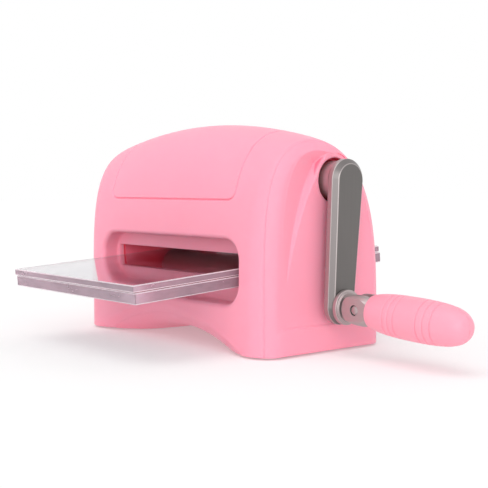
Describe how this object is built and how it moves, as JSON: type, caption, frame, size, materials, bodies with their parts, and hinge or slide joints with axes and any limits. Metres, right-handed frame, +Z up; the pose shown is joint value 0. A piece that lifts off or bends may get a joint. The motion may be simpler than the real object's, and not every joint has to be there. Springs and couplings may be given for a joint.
{
  "type": "die cutting machine",
  "caption": "Hand cranked table-top die cutting and embossing press: geared rollers in a rounded housing draw a pair of clear plates through; the crank handle swivels and folds.",
  "frame": {"origin": "Middle of the overall box, on the table under the rubber feet.", "axes": "+X runs along the rollers towards the crank, +Y is the way the plates feed from front to rear, +Z is up."},
  "size_m": [0.2256, 0.1494, 0.1059],
  "materials": {
    "body_plastic": "smooth satin pink moulding",
    "arm_metal": "satin grey, brighter chamfer",
    "handle_metal": "polished grey",
    "roller_steel": "ground dark steel",
    "gear_steel": "machined, lightly greased",
    "frame_steel": "zinc plated",
    "bush_bronze": "sintered bronze",
    "fastener_steel": "zinc plated",
    "foot_rubber": "matt",
    "clear_acrylic": "clear polished acrylic"
  },
  "bodies": {
    "housing": {"centre_shell": "body_plastic", "right_cover": "body_plastic", "left_cover": "body_plastic", "base_pan": "body_plastic", "left_side_frame": "frame_steel", "right_side_frame": "frame_steel", "lower_left_bush": "bush_bronze", "lower_right_bush": "bush_bronze", "upper_left_bush": "bush_bronze", "upper_right_bush": "bush_bronze", "crank_left_bush": "bush_bronze", "crank_right_bush": "bush_bronze", "base_screw_1": "fastener_steel", "base_screw_2": "fastener_steel", "base_screw_3": "fastener_steel", "base_screw_4": "fastener_steel", "shell_screw_1": "fastener_steel", "shell_screw_2": "fastener_steel", "shell_screw_3": "fastener_steel", "shell_screw_4": "fastener_steel", "left_cover_screw_1": "fastener_steel", "left_cover_screw_2": "fastener_steel", "left_cover_screw_3": "fastener_steel", "left_cover_screw_4": "fastener_steel", "right_cover_screw_1": "fastener_steel", "right_cover_screw_2": "fastener_steel", "right_cover_screw_3": "fastener_steel", "right_cover_screw_4": "fastener_steel", "tie_rod_1": "fastener_steel", "tie_rod_2": "fastener_steel", "tie_rod_3": "fastener_steel", "tie_rod_4": "fastener_steel", "rubber_foot_1": "foot_rubber", "rubber_foot_2": "foot_rubber", "rubber_foot_3": "foot_rubber", "rubber_foot_4": "foot_rubber"},
    "crank": {"crankshaft": "roller_steel", "crankshaft_clip": "fastener_steel", "crank_pinion": "gear_steel", "crank_arm": "arm_metal", "crank_set_screw": "fastener_steel"},
    "upper_roller_group": {"upper_roller": "roller_steel", "drive_gear": "gear_steel", "upper_roller_gear": "gear_steel", "drive_gear_clip": "fastener_steel", "upper_gear_clip": "fastener_steel"},
    "lower_roller_group": {"lower_roller": "roller_steel", "lower_roller_gear": "gear_steel", "lower_roller_clip": "fastener_steel", "lower_gear_clip": "fastener_steel"},
    "handle_knuckle": {"handle_boss": "handle_metal", "swivel_clip": "fastener_steel", "fold_pin": "handle_metal"},
    "handle_grip": {"handle_fork": "handle_metal", "grip_front_half": "body_plastic", "grip_rear_half": "body_plastic"},
    "upper_cutting_plate": {"upper_plate": "clear_acrylic"},
    "lower_cutting_plate": {"lower_plate": "clear_acrylic"}
  },
  "joints": [
    {"name": "crank_turn", "type": "hinge", "parent": "housing", "child": "crank", "pos_m": [0.03, 0.0213, 0.0782], "axis": [1, 0, 0], "continuous": true},
    {"name": "upper_roller_turn", "type": "hinge", "parent": "housing", "child": "upper_roller_group", "pos_m": [-0.03882, 0.0213, 0.05195], "axis": [1, 0, 0], "continuous": true},
    {"name": "lower_roller_turn", "type": "hinge", "parent": "housing", "child": "lower_roller_group", "pos_m": [-0.03882, 0.0213, 0.02345], "axis": [1, 0, 0], "continuous": true},
    {"name": "handle_swivel", "type": "hinge", "parent": "crank", "child": "handle_knuckle", "pos_m": [0.046, 0.01745, 0.02183], "axis": [1, 0, 0], "continuous": true},
    {"name": "handle_fold", "type": "hinge", "parent": "handle_knuckle", "child": "handle_grip", "pos_m": [0.05558, 0.01745, 0.02183], "axis": [0, -1, 0], "range_deg": [0, 86]},
    {"name": "upper_plate_feed", "type": "slide", "parent": "housing", "child": "upper_cutting_plate", "axis": [0, 0.9974, 0.0715], "range_m": [-0.045, 0.09]},
    {"name": "lower_plate_feed", "type": "slide", "parent": "housing", "child": "lower_cutting_plate", "axis": [0, 0.9974, 0.0715], "range_m": [-0.045, 0.09]}
  ],
  "couplings": [
    {"joint": "upper_roller_turn", "follows": "crank_turn", "ratio": -0.52174},
    {"joint": "lower_roller_turn", "follows": "crank_turn", "ratio": 0.52174},
    {"joint": "lower_plate_feed", "follows": "upper_plate_feed", "ratio": 1}
  ]
}
